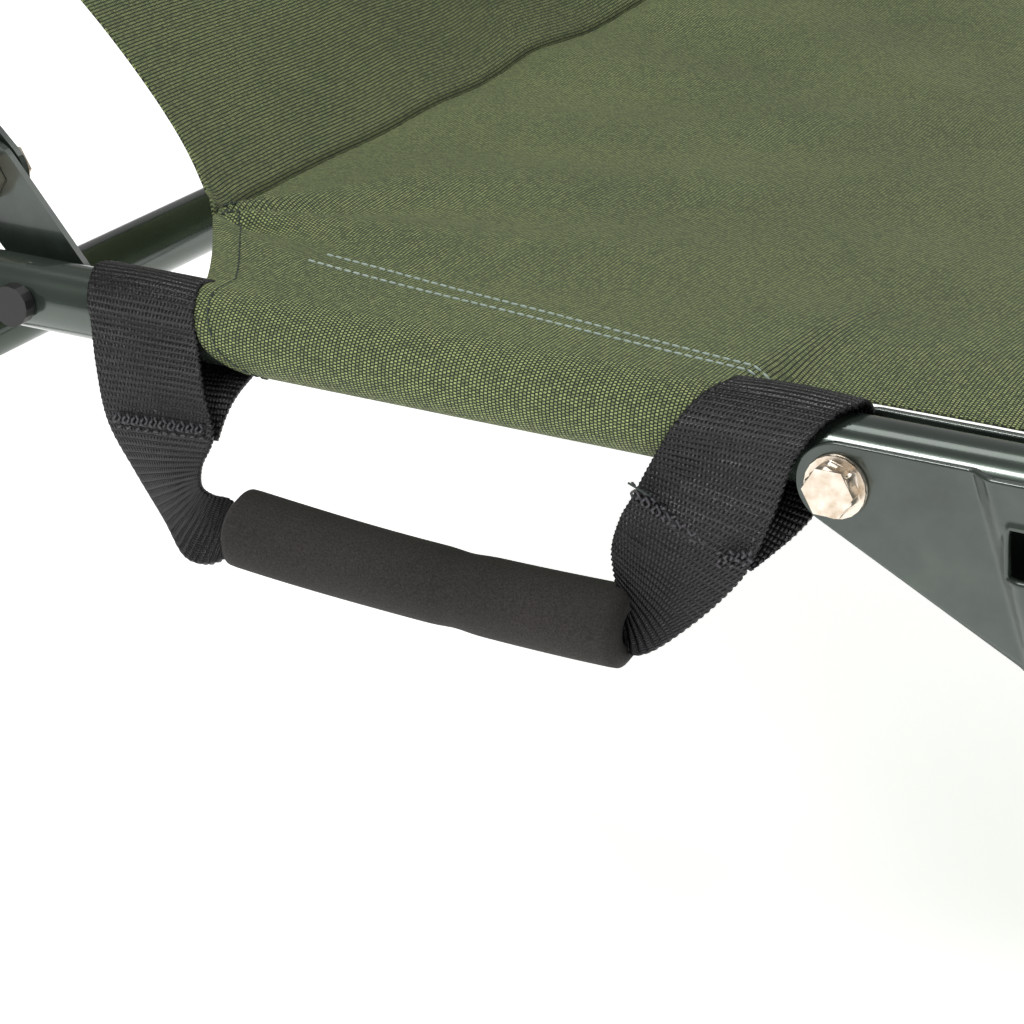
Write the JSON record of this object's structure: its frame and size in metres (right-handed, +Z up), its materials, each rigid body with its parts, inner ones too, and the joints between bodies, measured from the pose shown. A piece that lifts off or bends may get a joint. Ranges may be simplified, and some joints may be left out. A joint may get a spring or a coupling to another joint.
{
  "type": "folding cot",
  "caption": "Tri-fold camping cot with tubular steel rails, tilting head section, folding leg frames, stretched cloth and a foam-grip carry handle.",
  "frame": {"origin": "on the floor under the middle of the cot's bounding box, with the head section raised and all legs out", "axes": "+X from the head end to the foot end, +Z up, so the rail with the carry handle is on the -Y side"},
  "size_m": [1.6854, 0.7246, 0.7736],
  "materials": {
    "painted_tube": "glossy dark grey-green enamel on drawn steel tube",
    "pressed_steel": "glossy dark grey-green enamel on pressed sheet",
    "zinc_bolt": "warm bright zinc plate",
    "black_cap": "black moulded cap on the bolt",
    "foot_rubber": "matt black moulded rubber",
    "oxford_cloth": "olive woven polyester oxford",
    "webbing": "black woven webbing with a slight sheen",
    "grip_foam": "matt closed-cell foam"
  },
  "bodies": {
    "seat": {"far_bracket_bolt": "zinc_bolt", "far_foot_hinge_bolt": "zinc_bolt", "far_head_lug": "pressed_steel", "far_head_lug_bolt": "black_cap", "far_head_pivot_bolt": "zinc_bolt", "far_leg_drop_plate": "pressed_steel", "far_rail_end_plug": "foot_rubber", "far_seat_hinge_plate": "pressed_steel", "far_seat_rail": "painted_tube", "near_bracket_bolt": "zinc_bolt", "near_foot_hinge_bolt": "zinc_bolt", "near_head_lug": "pressed_steel", "near_head_lug_bolt": "black_cap", "near_head_pivot_bolt": "zinc_bolt", "near_leg_drop_plate": "pressed_steel", "near_rail_end_plug": "foot_rubber", "near_seat_hinge_plate": "pressed_steel", "near_seat_rail": "painted_tube", "seat_cloth": "oxford_cloth", "seat_cross_tube": "painted_tube"},
    "head": {"far_head_arm": "pressed_steel", "far_head_leg_lug": "pressed_steel", "far_head_tube": "painted_tube", "head_cloth": "oxford_cloth", "near_head_arm": "pressed_steel", "near_head_leg_lug": "pressed_steel", "near_head_tube": "painted_tube"},
    "head_leg": {"far_head_leg_tube": "painted_tube", "head_leg_floor_bar": "painted_tube", "near_head_leg_tube": "painted_tube"},
    "foot": {"far_foot_hinge_plate": "pressed_steel", "far_foot_leg_lug": "pressed_steel", "far_foot_tube": "painted_tube", "foot_cloth": "oxford_cloth", "near_foot_hinge_plate": "pressed_steel", "near_foot_leg_lug": "pressed_steel", "near_foot_tube": "painted_tube"},
    "foot_leg": {"far_foot_leg_tube": "painted_tube", "foot_leg_floor_bar": "painted_tube", "near_foot_leg_tube": "painted_tube"},
    "seat_leg_frame": {"far_leg_bracket": "pressed_steel", "far_seat_leg": "painted_tube", "far_seat_leg_foot": "foot_rubber", "near_leg_bracket": "pressed_steel", "near_seat_leg": "painted_tube", "near_seat_leg_foot": "foot_rubber", "seat_leg_brace": "painted_tube"},
    "cross_tube_frame": {"far_cross_tube_leg": "painted_tube", "far_cross_tube_leg_foot": "foot_rubber", "near_cross_tube_leg": "painted_tube", "near_cross_tube_leg_foot": "foot_rubber", "pivot_cross_tube": "painted_tube"},
    "handle": {"foot_side_handle_strap": "webbing", "handle_core_webbing": "webbing", "handle_grip": "grip_foam", "head_side_handle_strap": "webbing"}
  },
  "joints": [
    {"name": "head_tilt", "type": "hinge", "parent": "seat", "child": "head", "pos_m": [-0.36665, 0.00375, 0.318], "axis": [0, 1, 0], "range_deg": [-43.7, 136.3]},
    {"name": "head_leg_fold", "type": "hinge", "parent": "head", "child": "head_leg", "pos_m": [-0.75365, 0.00375, 0.66569], "axis": [0, -1, 0], "range_deg": [-105, 0]},
    {"name": "foot_fold", "type": "hinge", "parent": "seat", "child": "foot", "pos_m": [0.23935, 0.00375, 0.325], "axis": [0, -1, 0], "range_deg": [0, 180]},
    {"name": "foot_leg_fold", "type": "hinge", "parent": "foot", "child": "foot_leg", "pos_m": [0.68935, 0.00375, 0.27], "axis": [0, 1, 0], "range_deg": [0, 105]},
    {"name": "seat_leg_fold", "type": "hinge", "parent": "seat", "child": "seat_leg_frame", "pos_m": [-0.06565, 0.00375, 0.284], "axis": [0, 1, 0], "range_deg": [0, 65]},
    {"name": "cross_tube_leg_fold", "type": "hinge", "parent": "seat", "child": "cross_tube_frame", "pos_m": [-0.39065, 0.00375, 0.257], "axis": [0, -1, 0], "range_deg": [0, 109]},
    {"name": "handle_swing", "type": "hinge", "parent": "seat", "child": "handle", "pos_m": [-0.19065, -0.33125, 0.288], "axis": [-1, 0, 0], "range_deg": [-20, 110]}
  ]
}
